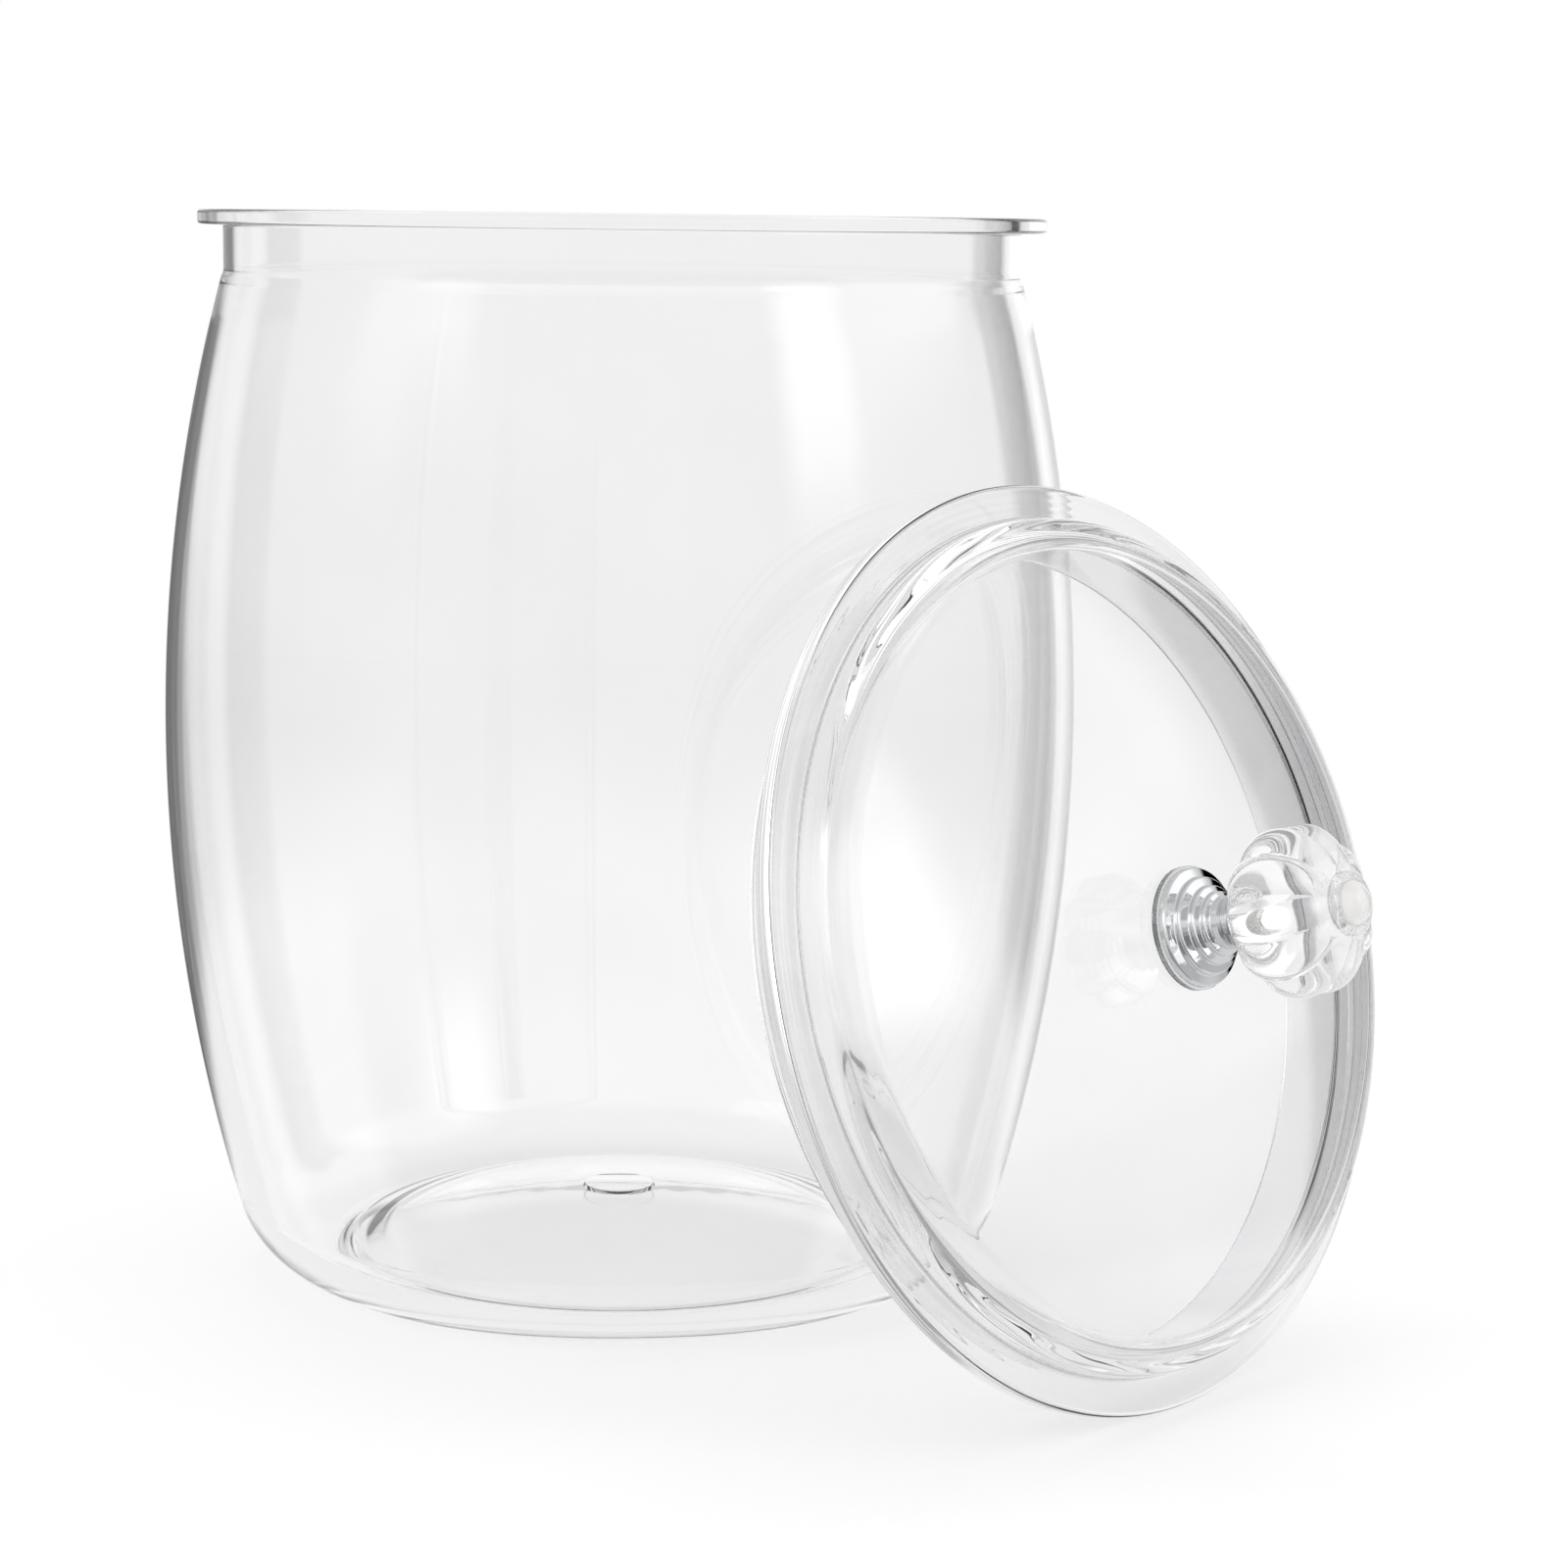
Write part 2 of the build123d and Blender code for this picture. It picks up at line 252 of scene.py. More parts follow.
glow = add(tree, "ShaderNodeEmission", {"Color": (1, 1, 1, 1), "Strength": glow})
mix = add(tree, "ShaderNodeMixShader", {0: far, 1: near, 2: glow})
mirrored = add(tree, "ShaderNodeMath", {0: path["Glossy Depth"], 1: 0.5}, operation="GREATER_THAN")
clear = add(tree, "ShaderNodeBsdfTransparent")
whole = add(tree, "ShaderNodeMixShader", {0: mirrored, 1: mix, 2: clear})
tree.links.new(whole.outputs[0], out.inputs["Surface"])
floor.data.materials.append(material)
print("floor radius", FLOOR_RADIUS, "m")

# %% [markdown]
# Clear plastic in front of clear plastic needs many bounces: a ray that looks through the lid and
# the jar crosses a dozen surfaces, and stops black if it runs out. Blur glossy is off, because it
# smears the mirrored screens that draw the edges.

# %% Light paths
scene.cycles.blur_glossy = 0.0
scene.cycles.max_bounces = 32
scene.cycles.transmission_bounces = 32
scene.cycles.glossy_bounces = 16
scene.cycles.transparent_max_bounces = 32
print("bounces:", scene.cycles.max_bounces)

# %% [markdown]
# The jar, the lid, the base and the small rings are all turned shapes: one outline swept round an
# axis. Clear plastic shows every flat in a mesh, so each outline has many points, and the faces
# take their slopes from the outline. The outlines are made of arcs, in millimetres, and three
# helpers find them.

# %% Arcs
MM = 0.001
SHARP = math.cos(math.radians(35))


def arc(centre, radius, start, stop, steps):
    """Points (distance from the axis, height) of an arc, between two angles in radians."""
    angles = [start + (stop - start) * i / steps for i in range(steps + 1)]
    return [(centre[0] + radius * math.cos(a), centre[1] + radius * math.sin(a)) for a in angles]


def arc_through(first, middle, last, steps):
    """Points of the arc that runs from one point through another to a third."""
    a, b, c = (np.array(point, float) for point in (first, middle, last))
    centre = np.linalg.solve(2 * np.array([b - a, c - a]), [b @ b - a @ a, c @ c - a @ a])
    start, stop = (math.atan2(*(point - centre)[::-1]) for point in (a, c))
    return arc(centre, float(np.linalg.norm(a - centre)), start, stop, steps)


def cap_radius(half_width, rise):
    """Radius of the arc that rises this much over this half width."""
    return (half_width ** 2 + rise ** 2) / (2 * rise)


print("points in a quarter turn of 8 steps:", len(arc((0, 0), 1.0, 0.0, math.pi / 2, 8)))

# %% [markdown]
# No moulded or turned edge is quite sharp. This helper runs a path through given corners and puts
# an arc in each that has a rounding. A second one drops the points that repeat.

# %% Rounded paths
def eased(corners, steps=7):
    """A path through corners, each (distance, height, rounding), with its corners rounded."""
    path = [corners[0][:2]]
    for before, corner, after in zip(corners, corners[1:], corners[2:]):
        here = np.array(corner[:2], float)
        u, v = np.array(before[:2]) - here, np.array(after[:2]) - here
        u, v = u / np.linalg.norm(u), v / np.linalg.norm(v)
        if corner[2] == 0:
            path.append(tuple(here))
            continue
        half = math.acos(max(-1.0, min(1.0, float(u @ v)))) / 2
        middle = here + (u + v) / np.linalg.norm(u + v) * corner[2] / math.sin(half)
        first, last = here + u * corner[2] / math.tan(half), here + v * corner[2] / math.tan(half)
        start = math.atan2(*(first - middle)[::-1])
        sweep = (math.atan2(*(last - middle)[::-1]) - start + math.pi) % (2 * math.pi) - math.pi
        path += arc(middle, corner[2], start, start + sweep, steps)
    return path + [corners[-1][:2]]


def tidy(path, least=0.004):
    """The path without points that repeat the one before."""
    kept = [path[0]]
    for point in path[1:]:
        if math.dist(point, kept[-1]) > least:
            kept.append(point)
    return kept


print("a rounded right angle:", len(eased([(0, 0), (1, 0, 0.2), (1, 1)])), "points")

# %% [markdown]
# First the slopes. Where two spans of the outline meet at less than 35 degrees they share the
# mean of their slopes, weighed by length, so the surface looks round. Where they meet more
# sharply each keeps its own, and the edge stays crisp.

# %% Slopes of an outline
def span_slopes(points, ends, closed):
    """The outward slope at the start and at the end of each span, from one point to another."""
    lean = np.array([points[b] - points[a] for a, b in ends])
    length = np.linalg.norm(lean, axis=1)
    slope = np.stack([lean[:, 1], -lean[:, 0]], 1) / length[:, None]
    start_slope, end_slope = slope.copy(), slope.copy()
    spans = len(ends)
    for i in range(spans if closed else spans - 1):
        j = (i + 1) % spans
        if slope[i] @ slope[j] > SHARP:
            shared = slope[i] * length[i] + slope[j] * length[j]
            end_slope[i] = start_slope[j] = shared / np.linalg.norm(shared)
    return start_slope, end_slope


print("spans turn smooth under", round(math.degrees(math.acos(SHARP))), "degrees")

# %% [markdown]
# The lathe sweeps an outline round the vertical axis. At a pole it makes one point, not a ring of
# points on top of each other. Every corner of every face gets its slope as a normal.

# %% The lathe
SAME_POINT, ON_AXIS = 1e-6, 1e-7


def lathe(name, outline, closed, around, place=None):
    """A turned mesh, solid on the outline's left. An open outline has both ends on the axis."""
    points = np.array(tidy(outline), float) * MM
    if closed and np.linalg.norm(points[0] - points[-1]) < SAME_POINT:
        points = points[:-1]
    count = len(points)
    ends = [(i, (i + 1) % count) for i in range(count if closed else count - 1)]
    start_slope, end_slope = span_slopes(points, ends, closed)
    angles = np.arange(around) * 2 * math.pi / around
    spin = np.stack([np.cos(angles), np.sin(angles)], 1)
    poles = {i for i in range(count) if points[i, 0] < ON_AXIS}
    first, vertices = [], []
    for i, (radius, height) in enumerate(points):
        first.append(len(vertices))
        ring = [(radius * c, radius * s, height) for c, s in spin]
        vertices += [(0.0, 0.0, height)] if i in poles else ring
    faces, normals = [], []
    for (a, b), at_a, at_b in zip(ends, start_slope, end_slope):
        for j in range(around):
            k = (j + 1) % around
            near = [(first[a] + j, j, at_a), (first[a] + k, k, at_a)]
            far = [(first[b] + k, k, at_b), (first[b] + j, j, at_b)]
            if a in poles:
                near = [(first[a], j, at_a)]
            if b in poles:
                far = [(first[b], j, at_b)]
            corners = near + far
            faces.append([c[0] for c in corners])
            normals += [(n[0] * spin[m, 0], n[0] * spin[m, 1], n[1]) for _, m, n in corners]
    mesh = bpy.data.meshes.new(name)
    mesh.from_pydata(vertices, [], faces)
    mesh.polygons.foreach_set("use_smooth", [True] * len(faces))
    mesh.normals_split_custom_set(normals)
    if place is not None:
        mesh.transform(place)
    thing = bpy.data.objects.new(name, mesh)
    scene.collection.objects.link(thing)
    print(name, count, "points round the outline,", len(faces), "faces")
    return thing


# %% [markdown]
# The jar is one blow-moulded barrel of clear PET: a foot ring round a pushed-up floor, a long
# curved side, a straight neck and a flat rim flange. These are its sizes in millimetres, and the
# circle that its long side is a part of.

# %% Jar sizes
JAR_HEIGHT, RIM_RADIUS, RIM_THICKNESS = 218.5, 86.0, 3.0
NECK_RADIUS, NECK_WALL, NECK_HEIGHT = 81.0, 2.0, 13.0
BELLY_RADIUS, BELLY_HEIGHT, CORNER_RADIUS = 93.6, 113.7, 21.4
TOP_WALL, BELLY_WALL, FOOT_WALL = 1.8, 3.9, 5.0
FOOT_RING, PANEL_RADIUS, PANEL_HEIGHT, PANEL_SLOPE, PANEL_RISE = 1.6, 55.6, 7.0, 2.6, 8.5
PANEL_WALL, UNDER_SLOPE = 4.6, 2.4
GATE_RADIUS, GATE_HEIGHT = 7.6, 0.5
SHOULDER = JAR_HEIGHT - NECK_HEIGHT
SHOULDER_RADIUS, SHOULDER_RAMP = NECK_RADIUS + 0.4, 2.0
BORE = NECK_RADIUS - NECK_WALL

curve = cap_radius(SHOULDER - BELLY_HEIGHT, BELLY_RADIUS - SHOULDER_RADIUS)
side_centre = (BELLY_RADIUS - curve, BELLY_HEIGHT)
drop = CORNER_RADIUS - BELLY_HEIGHT
foot_radius = side_centre[0] + math.sqrt((curve - CORNER_RADIUS) ** 2 - drop ** 2)
turn_angle = math.asin(drop / (curve - CORNER_RADIUS))
foot_inner = foot_radius - FOOT_RING
print("side curve", round(curve, 1), "mm, foot radius", round(foot_radius, 2), "mm")

# %% [markdown]
# The jar's curves are arcs: the side outside, the corner at the foot, and the floor's two domes.
# The wall has three given thicknesses, and the inside is the arc through those three points.

# %% Jar curves
SIDE_STEPS, CORNER_STEPS, DOME_STEPS = 64, 22, 24
OUTSIDE_STOP, INSIDE_STOP = 2.2, 6.0  # how far under the shoulder the arcs end


def side_radius(height):
    """Radius of the barrel's outside at a height."""
    return side_centre[0] + math.sqrt(curve ** 2 - (height - BELLY_HEIGHT) ** 2)


def corner(inset):
    """The turn from the foot up into the side, inset from the outside."""
    middle = (foot_radius, CORNER_RADIUS)
    return arc(middle, CORNER_RADIUS - inset, -math.pi / 2, turn_angle, CORNER_STEPS)


def floor_dome(edge, height, stop):
    """The pushed-up floor, from its edge inwards."""
    radius = cap_radius(edge, PANEL_RISE)
    middle = (0, height + PANEL_RISE - radius)
    return arc(middle, radius, math.acos(edge / radius), math.acos(stop / radius), DOME_STEPS)


under = floor_dome(foot_inner - UNDER_SLOPE, PANEL_HEIGHT - PANEL_WALL, 0.0)
panel = floor_dome(PANEL_RADIUS, PANEL_HEIGHT, GATE_RADIUS)
side_stop = math.asin((SHOULDER - OUTSIDE_STOP - BELLY_HEIGHT) / curve)
outside = corner(0.0) + arc(side_centre, curve, turn_angle, side_stop, SIDE_STEPS)[1:]
inner_corner = corner(FOOT_WALL)
inner_top = SHOULDER - SHOULDER_RAMP
inner_side = arc_through(
    inner_corner[-1],
    (side_radius(BELLY_HEIGHT) - BELLY_WALL, BELLY_HEIGHT),
    (side_radius(inner_top) - TOP_WALL, inner_top),
    SIDE_STEPS,
)
inside = inner_corner + [point for point in inner_side[1:] if point[1] < SHOULDER - INSIDE_STOP]
print("points outside", len(outside), "and inside", len(inside))

# %% [markdown]
# Between the curves run paths with rounded corners: the rim, the foot, the edge of the floor and
# the small disc in its middle. Each corner below has its distance from the axis, its height and
# its rounding. A blown wall is soft under the neck and at the floor's edge, so those corners are
# rounded more than the CAD solid's. The whole outline then runs from the middle of the underside,
# out and up the outside, over the rim and down the inside.

# %% Jar
FOOT_JOIN, FOOT_AIM, PANEL_JOIN = 5, 3, 2  # points of the domes where the paths join or turn
gate_top = PANEL_HEIGHT + PANEL_RISE + GATE_HEIGHT
rim = eased([
    (*outside[-1], 0),
    (SHOULDER_RADIUS, SHOULDER, 1.2),
    (NECK_RADIUS, SHOULDER + 0.9, 0.8),
    (NECK_RADIUS, JAR_HEIGHT - RIM_THICKNESS, 0.5),
    (RIM_RADIUS, JAR_HEIGHT - RIM_THICKNESS, 0.7),
    (RIM_RADIUS, JAR_HEIGHT, 0.7),
    (BORE, JAR_HEIGHT, 0.8),
    (BORE, SHOULDER + 0.4, 3.0),
    (BORE + 0.9, SHOULDER - 2.2, 3.0),
    (*inside[-1], 0),
])
foot = eased([
    (*under[FOOT_JOIN], 0),
    (*under[FOOT_AIM], 12.0),
    (foot_inner + 1.0, 0, 8.0),
    (foot_radius, 0, 0),
])
floor_edge = eased([
    (foot_radius, FOOT_WALL, 0),
    (PANEL_RADIUS + PANEL_SLOPE, FOOT_WALL, 5.0),
    (PANEL_RADIUS, PANEL_HEIGHT, 3.0),
    (*panel[PANEL_JOIN], 0),
])
gate = eased([(*panel[-1], 0), (GATE_RADIUS - 0.3, gate_top, 0.25), (0, gate_top, 0)])
jar_outline = [(0.0, under[-1][1])] + under[-2:FOOT_JOIN:-1] + foot + outside[1:] + rim[1:]
jar_outline += inside[-2::-1] + floor_edge[1:] + panel[PANEL_JOIN + 1:] + gate[1:]
jar = lathe("jar", jar_outline, closed=False, around=256)

# %% [markdown]
# The lid is moulded in one piece: a shallow dome with a rounded shoulder, a flat flange, and a
# plug that drops into the neck. Its outline is drawn about its own axis, from the underside of
# the flange, and then leaned over to where the CAD has it. The axis points 15.2 degrees up.

# %% Lid sizes
LID_RADIUS, LID_THICKNESS = RIM_RADIUS + 1.3, 3.2
PLUG_RADIUS, PLUG_WALL, PLUG_DEPTH = BORE - 1.2, 2.2, 11.2
DOME_RADIUS, DOME_CORNER, DOME_HEIGHT, DOME_WALL = 80.2, 10.0, 25.6, 2.2
SHOULDER_OUT, SHOULDER_IN = 7.0, 5.0
PAD_RADIUS, WASHER_PAD, WASHER_RISE, SCREW_HOLE = 11.4, 8.0, 0.4, 2.25
LEAN = math.radians(15.2)
LID_CENTRE = (0.122505, 0.0, 0.084246)
lid_place = Matrix.Translation(LID_CENTRE) @ Matrix.Rotation(math.pi / 2 - LEAN, 4, "Y")

dome_curve = cap_radius(DOME_RADIUS, DOME_HEIGHT - DOME_CORNER)
dome_centre = (0, DOME_HEIGHT - dome_curve)
print("dome curve", round(dome_curve, 1), "mm, leaned at", LID_CENTRE)

# %% [markdown]
# The dome is drawn twice, for the outside and for the hollow. Each is a fillet and an arc. The
# flange and the boss under the knob join the two, as paths with rounded corners again.

# %% Lid
FILLET_STEPS, LID_DOME_STEPS = 16, 60


def dome(radius, wall_radius, rounding, stop):
    """A shoulder fillet from a straight wall, and the dome inwards from it."""
    reach = wall_radius - rounding
    rise = dome_centre[1] + math.sqrt((radius - rounding) ** 2 - reach ** 2)
    meet = math.atan2(rise - dome_centre[1], reach)
    fillet = arc((reach, rise), rounding, 0.0, meet, FILLET_STEPS)
    return fillet + arc(dome_centre, radius, meet, math.acos(stop / radius), LID_DOME_STEPS)[1:]


plug_bore = PLUG_RADIUS - PLUG_WALL
top = dome(dome_curve, DOME_RADIUS, SHOULDER_OUT, PAD_RADIUS)
hollow = dome(dome_curve - DOME_WALL, plug_bore, SHOULDER_IN, WASHER_PAD)
washer_seat = DOME_HEIGHT - DOME_WALL - WASHER_RISE
flange = eased([
    (*hollow[0], 0),
    (plug_bore, -PLUG_DEPTH, 0.8),
    (PLUG_RADIUS, -PLUG_DEPTH, 0.8),
    (PLUG_RADIUS, 0, 0.5),
    (LID_RADIUS, 0, 0.5),
    (LID_RADIUS, LID_THICKNESS, 1.4),
    (DOME_RADIUS, LID_THICKNESS, 1.0),
    (*top[0], 0),
])
boss = eased([
    (*top[-1], 0),
    (PAD_RADIUS - 0.1, DOME_HEIGHT, 0),
    (SCREW_HOLE, DOME_HEIGHT, 0.2),
    (SCREW_HOLE, washer_seat, 0.2),
    (WASHER_PAD, washer_seat, 0.15),
    (*hollow[-1], 0),
])
lid_outline = flange + top[1:] + boss[1:] + hollow[::-1][1:]
lid = lathe("lid", lid_outline, closed=True, place=lid_place, around=256)

# %% [markdown]
# The knob's base is a zinc casting, turned and then chrome plated: a foot disc, a ring, a bead,
# a waist, and a cup that the clear head sits in. Chrome shows its steps only by what they
# mirror, so each step has a small rounding that catches a thin line of light.

# %% Knob base
GASKET_THICKNESS, RUNNING_GAP, HAIR_GAP = 0.8, 0.05, 0.02
BASE_LEVEL = DOME_HEIGHT + GASKET_THICKNESS + RUNNING_GAP
BASE_HEIGHT = 13.4
SOCKET_RADIUS, SOCKET_DEPTH = 2.83, 6.6
seat_height = BASE_HEIGHT - HAIR_GAP
socket_floor = BASE_HEIGHT - SOCKET_DEPTH
base_steps = [
    # distance from the axis, height over the base's underside, rounding
    (SCREW_HOLE, 0, 0), (11.0, 0, 0.25), (11.0, 1.3, 0.6), (9.0, 2.0, 0.3), (9.0, 3.2, 0.5),
    (7.2, 3.8, 0.25), (7.2, 4.9, 0.5), (5.9, 5.4, 0.25), (5.9, 6.4, 0.5), (4.9, 6.9, 0.3),
    (4.9, 8.8, 2.5), (7.3, 12.6, 0.3), (7.3, seat_height, 0.25),
    (SOCKET_RADIUS, seat_height, 0.1), (SOCKET_RADIUS, socket_floor, 0),
    (SCREW_HOLE, socket_floor, 0), (SCREW_HOLE, 0, 0),
]
base_path = eased([(r, BASE_LEVEL + z, rounding) for r, z, rounding in base_steps], 8)
base = lathe("chrome_base", base_path, closed=True, place=lid_place, around=160)

# %% [markdown]
# The head is cast clear acrylic in the shape of a melon: ten round lobes that meet in sharp
# grooves. The lathe turns a smooth blank, closed behind and with a bore in front for the button's
# pin, and Geometry Nodes then press the lobes into it. The rule: a lobe is an arc of a circle that
# sits out from the axis, so its outline in polar form is known, and every point is pulled in by
# that share. The pressed lobes need slopes of their own, so the blank's are taken off again.

# %% Knob head blank
HEAD_LEVEL = BASE_LEVEL + BASE_HEIGHT
HEAD_RADIUS, HEAD_HALF, HEAD_LENGTH = 15.875, 11.2, 20.0
LOBES, LOBE_SHARE, POINTS_PER_LOBE = 10, 0.31, 24
PIN_RADIUS, PIN_DEPTH = 2.18, 4.0
HEAD_TOP = HEAD_LEVEL + HEAD_LENGTH
HEAD_STEPS = 80
side = []
for step in range(HEAD_STEPS + 1):
    rise = HEAD_LENGTH * step / HEAD_STEPS
    share = (rise - HEAD_LENGTH / 2) / HEAD_HALF
    side.append((HEAD_RADIUS * math.sqrt(1 - share ** 2), HEAD_LEVEL + rise))
blank_path = [(0, HEAD_LEVEL)] + side
blank_path += [(PIN_RADIUS, HEAD_TOP), (PIN_RADIUS, HEAD_TOP - PIN_DEPTH)]
blank_path += [(0, HEAD_TOP - PIN_DEPTH)]
head = lathe("crystal_head", blank_path, closed=False, around=LOBES * POINTS_PER_LOBE)
if head.data.has_custom_normals:
    head.data.attributes.remove(head.data.attributes["custom_normal"])

# %% [markdown]
# The node tree reads each point's angle, works out how far out the lobe's arc is there, and moves
# the point to it. Near the axis the points stay put, so that the front is round for the collar.

# %% The lobe rule
LOBE_RULE = [
    # the step's name, what it does, and what it does it to: earlier steps or numbers
    ("turn", "ARCTAN2", "y", "x"),
    ("angle", "ADD", "turn", 2 * math.pi),
    ("pitch", "DIVIDE", 2 * math.pi, "Lobes"),
    ("half pitch", "MULTIPLY", "pitch", 0.5),
    ("in this lobe", "MODULO", "angle", "pitch"),
    ("off crest", "SUBTRACT", "in this lobe", "half pitch"),
    ("cosine", "COSINE", "off crest"),
    ("sine", "SINE", "off crest"),
    ("centre", "SUBTRACT", 1.0, "Lobe Share"),
    ("along", "MULTIPLY", "centre", "cosine"),
    ("across", "MULTIPLY", "centre", "sine"),
    ("across squared", "MULTIPLY", "across", "across"),
    ("share squared", "MULTIPLY", "Lobe Share", "Lobe Share"),
    ("left over", "SUBTRACT", "share squared", "across squared"),
    ("root", "SQRT", "left over"),
    ("reach", "ADD", "along", "root"),
    ("x squared", "MULTIPLY", "x", "x"),
    ("y squared", "MULTIPLY", "y", "y"),
    ("squares", "ADD", "x squared", "y squared"),
    ("distance", "SQRT", "squares"),
    ("from plain", "SUBTRACT", "distance", "Plain Radius"),
    ("ramp", "SUBTRACT", "Full Radius", "Plain Radius"),
    ("raw weight", "DIVIDE", "from plain", "ramp"),
    ("not under", "MAXIMUM", "raw weight", 0.0),
    ("weight", "MINIMUM", "not under", 1.0),
    ("change", "SUBTRACT", "reach", 1.0),
    ("weighed", "MULTIPLY", "weight", "change"),
    ("pull", "ADD", "weighed", 1.0),
    ("new x", "MULTIPLY", "x", "pull"),
    ("new y", "MULTIPLY", "y", "pull"),
]
print("steps in the rule:", len(LOBE_RULE))

# %% [markdown]
# The tree has named inputs for its sizes, so that another knob needs new numbers and not a new
# tree. The rule's steps become Math nodes one by one, and a step's name finds its node again.

# %% Press the lobes
PLAIN_RADIUS, FULL_RADIUS = 3.2, 6.0  # the lobes start at the first and are whole at the second
flutes = bpy.data.node_groups.new("press lobes", "GeometryNodeTree")
for name, way_in, kind, value in [
    ("Geometry", "INPUT", "Geometry", None),
    ("Geometry", "OUTPUT", "Geometry", None),
    ("Material", "INPUT", "Material", None),
    ("Lobes", "INPUT", "Float", LOBES),
    ("Lobe Share", "INPUT", "Float", LOBE_SHARE),
    ("Plain Radius", "INPUT", "Float", PLAIN_RADIUS * MM),
    ("Full Radius", "INPUT", "Float", FULL_RADIUS * MM),
]:
    socket = flutes.interface.new_socket(name=name, in_out=way_in, socket_type="NodeSocket" + kind)
    if value is not None:
        socket.default_value = value
given = add(flutes, "NodeGroupInput").outputs
spot = add(flutes, "ShaderNodeSeparateXYZ", {0: add(flutes, "GeometryNodeInputPosition")}).outputs
found = {name: given[name] for name in ("Lobes", "Lobe Share", "Plain Radius", "Full Radius")}
found.update(x=spot[0], y=spot[1])
for name, kind, *values in LOBE_RULE:
    inputs = {i: found.get(value, value) for i, value in enumerate(values)}
    found[name] = add(flutes, "ShaderNodeMath", inputs, operation=kind)
pressed = add(flutes, "ShaderNodeCombineXYZ", {0: found["new x"], 1: found["new y"], 2: spot[2]})
moved = add(flutes, "GeometryNodeSetPosition", {"Geometry": given["Geometry"], "Position": pressed})
whole = add(flutes, "GeometryNodeRealizeInstances", {"Geometry": moved})
painted = add(flutes, "GeometryNodeSetMaterial", {"Geometry": whole, "Material": given["Material"]})
add(flutes, "NodeGroupOutput", {0: painted})
print("nodes in the tree:", len(flutes.nodes))

# %% [markdown]
# A modifier works anew each time it is asked. This helper asks once, keeps the result as a plain
# mesh and takes the modifier away. It is used below, when the head's material is there.

# %% Make it plain
def made_plain(thing, tree, values, place):
    """Gives the object a tree's result as its own mesh, moved to its place."""
    modifier = thing.modifiers.new(tree.name, "NODES")
    modifier.node_group = tree
    for item in tree.interface.items_tree:
        if item.item_type == "SOCKET" and item.name in values:
            modifier[item.identifier] = values[item.name]
    depsgraph = bpy.context.evaluated_depsgraph_get()
    result = bpy.data.meshes.new_from_object(thing.evaluated_get(depsgraph))
    thing.modifiers.remove(modifier)
    result.transform(place)
    thing.data = result
    print(thing.name, len(result.polygons), "faces from", tree.name)


# %% [markdown]
# The front of the head is closed by a clear ring and, inside it, a milky button whose pin fills
# the head's bore.

# %% Collar and button
COLLAR_RADIUS, COLLAR_BORE, COLLAR_HEIGHT = 5.8, 4.2, 1.8
BUTTON_RADIUS, BUTTON_RISE, BUTTON_PIN, CROWN_STEPS = 4.1, 2.5, 2.2, 24
rim_level = HEAD_TOP + COLLAR_HEIGHT
collar_path = eased([
    (COLLAR_BORE, HEAD_TOP + 1, 0),
    (COLLAR_BORE, HEAD_TOP, 0.15),
    (COLLAR_RADIUS, HEAD_TOP, 0.15),
    (COLLAR_RADIUS, rim_level, 0.8),
    (COLLAR_BORE, rim_level, 0.3),
    (COLLAR_BORE, HEAD_TOP + 1, 0),
])
collar = lathe("collar", collar_path, closed=True, place=lid_place, around=96)
crown_radius = cap_radius(BUTTON_RADIUS, BUTTON_RISE)
crown_centre = (0, rim_level + BUTTON_RISE - crown_radius)
crown_start = math.asin((rim_level - crown_centre[1]) / crown_radius)
crown = arc(crown_centre, crown_radius, crown_start, math.pi / 2, CROWN_STEPS)
button_path = eased([
    (0, HEAD_TOP - PIN_DEPTH, 0),
    (BUTTON_PIN, HEAD_TOP - PIN_DEPTH, 0.2),
    (BUTTON_PIN, HEAD_TOP, 0.1),
    (BUTTON_RADIUS, HEAD_TOP, 0.2),
    (*crown[0], 0),
])
button_path += crown[1:-1] + [(0.0, rim_level + BUTTON_RISE)]
button = lathe("button", button_path, closed=False, place=lid_place, around=96)

# %% [markdown]
# No real surface has one number for its colour or its gloss. Each finish below is drawn by noise
# whose spots have a real size in millimetres. It is read from Object coordinates, so it stays on
# its piece in every pose. The first helper centres and turns those coordinates for a piece, and
# the next two make an uneven tint and an uneven gloss.

# %% Tint and gloss
def on_piece(tree, centre=(0, 0, 0), turn=(0, 0, 0), stretch=(1, 1, 1)):
    """Object coordinates about a centre, turned to a piece's own axis and stretched."""
    place = add(tree, "ShaderNodeTexCoord").outputs["Object"]
    inputs = {"Vector": place, "Location": centre, "Rotation": turn, "Scale": stretch}
    return add(tree, "ShaderNodeMapping", inputs, vector_type="TEXTURE")


def uneven_gloss(tree, place, size_mm, low, high, least=0.35, most=0.65, detail=3.0):
    """Spots of this size between two roughnesses. Noise below least stays at the low one."""
    inputs = {"Vector": place, "Scale": 1 / (size_mm * MM), "Detail": detail}
    noise = add(tree, "ShaderNodeTexNoise", inputs)
    spread = {"Value": noise, "From Min": least, "From Max": most, "To Min": low, "To Max": high}
    return add(tree, "ShaderNodeMapRange", spread)


def uneven_tint(tree, place, size_mm, first, second):
    """Patches of this size that run from one sRGB hex colour to another."""
    share = uneven_gloss(tree, place, size_mm, 0.0, 1.0)
    inputs = {0: share, 6: linear(first), 7: linear(second)}
    return add(tree, "ShaderNodeMix", inputs, data_type="RGBA")


